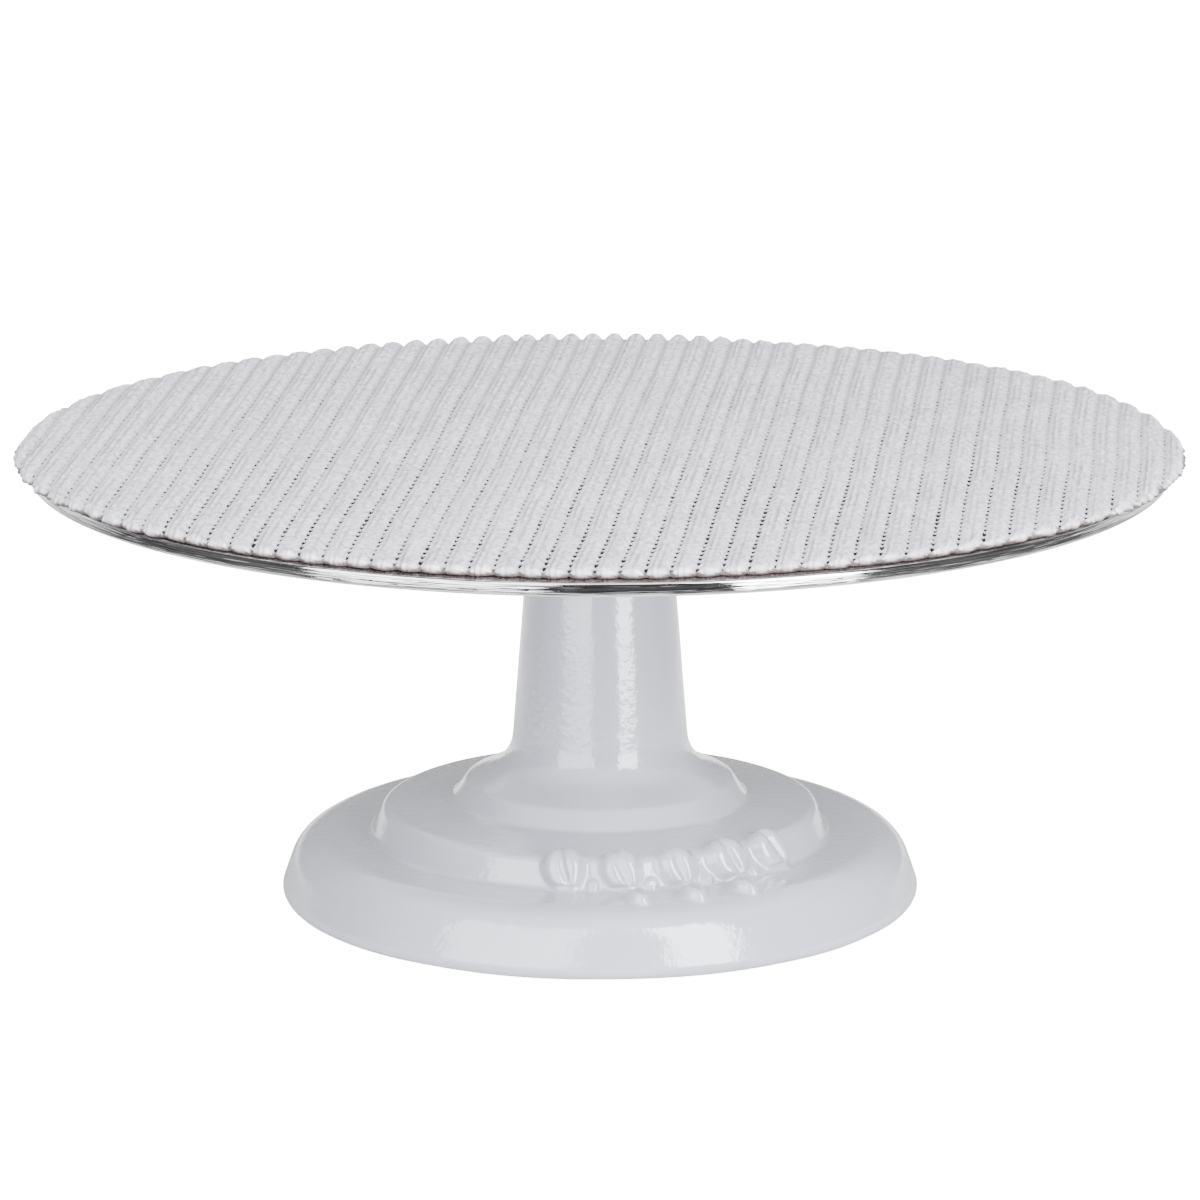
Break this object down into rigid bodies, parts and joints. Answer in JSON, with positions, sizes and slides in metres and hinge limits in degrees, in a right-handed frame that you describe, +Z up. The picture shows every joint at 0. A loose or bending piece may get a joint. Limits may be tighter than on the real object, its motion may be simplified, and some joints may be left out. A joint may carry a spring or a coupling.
{
  "type": "cake turntable",
  "caption": "Revolving cake stand: round aluminium plate with a perforated non-slip pad, turning on a spindle in a flared enamelled iron pedestal.",
  "frame": {"origin": "on the surface that the turntable stands on, on the spindle's axis", "axes": "+Z up along the spindle, -Y towards the raised ornament on the front of the foot, +X to the right of it"},
  "size_m": [0.312, 0.3048, 0.1265],
  "materials": {
    "enamelled_iron": "gloss",
    "plate_aluminium": "polished",
    "cast_aluminium": "satin",
    "pad_fabric": "matte",
    "black_rubber": "matte",
    "bearing_steel": "polished",
    "hardened_steel": "satin",
    "shield_steel": "satin",
    "screw_steel": "satin",
    "bronze": "satin",
    "cage_nylon": "satin"
  },
  "bodies": {
    "base": {"base_casting": "enamelled_iron", "foot_back_right": "black_rubber", "foot_back_left": "black_rubber", "foot_front_left": "black_rubber", "foot_front_right": "black_rubber", "foot_screws": "screw_steel", "lower_bush": "bronze", "thrust_seat": "hardened_steel", "bottom_plug": "screw_steel", "plug_locknut": "screw_steel", "dust_seal": "black_rubber", "bearing_outer_race": "bearing_steel", "bearing_lower_shield": "shield_steel", "bearing_upper_shield": "shield_steel", "bearing_circlip": "hardened_steel"},
    "bearing_rotor": {"bearing_inner_race": "bearing_steel"},
    "bearing_cage": {"bearing_cage": "cage_nylon", "bearing_ball_1": "bearing_steel", "bearing_ball_2": "bearing_steel", "bearing_ball_3": "bearing_steel", "bearing_ball_4": "bearing_steel", "bearing_ball_5": "bearing_steel", "bearing_ball_6": "bearing_steel", "bearing_ball_7": "bearing_steel", "bearing_ball_8": "bearing_steel"},
    "thrust_ball": {"thrust_ball": "bearing_steel"},
    "top": {"spindle": "bearing_steel", "hub_flange": "cast_aluminium", "hub_grub_screw": "hardened_steel", "turntable_plate": "plate_aluminium", "plate_screws": "screw_steel", "centre_screw": "screw_steel"},
    "pad": {"non_slip_pad": "pad_fabric"}
  },
  "joints": [
    {"name": "plate_spin", "type": "hinge", "parent": "base", "child": "bearing_rotor", "pos_m": [0, 0, 0.099], "axis": [0, 0, 1], "continuous": true},
    {"name": "top_lift", "type": "slide", "parent": "bearing_rotor", "child": "top", "axis": [0, 0, 1], "range_m": [0, 0.09]},
    {"name": "pad_lift", "type": "slide", "parent": "top", "child": "pad", "axis": [0, 0, 1], "range_m": [0, 0.05]},
    {"name": "cage_spin", "type": "hinge", "parent": "base", "child": "bearing_cage", "pos_m": [0, 0, 0.099], "axis": [0, 0, 1], "continuous": true},
    {"name": "thrust_ball_spin", "type": "hinge", "parent": "base", "child": "thrust_ball", "pos_m": [0, 0, 0.028], "axis": [0, 0, 1], "continuous": true}
  ],
  "couplings": [
    {"joint": "cage_spin", "follows": "plate_spin", "ratio": 0.381},
    {"joint": "thrust_ball_spin", "follows": "plate_spin", "ratio": 0.5}
  ]
}
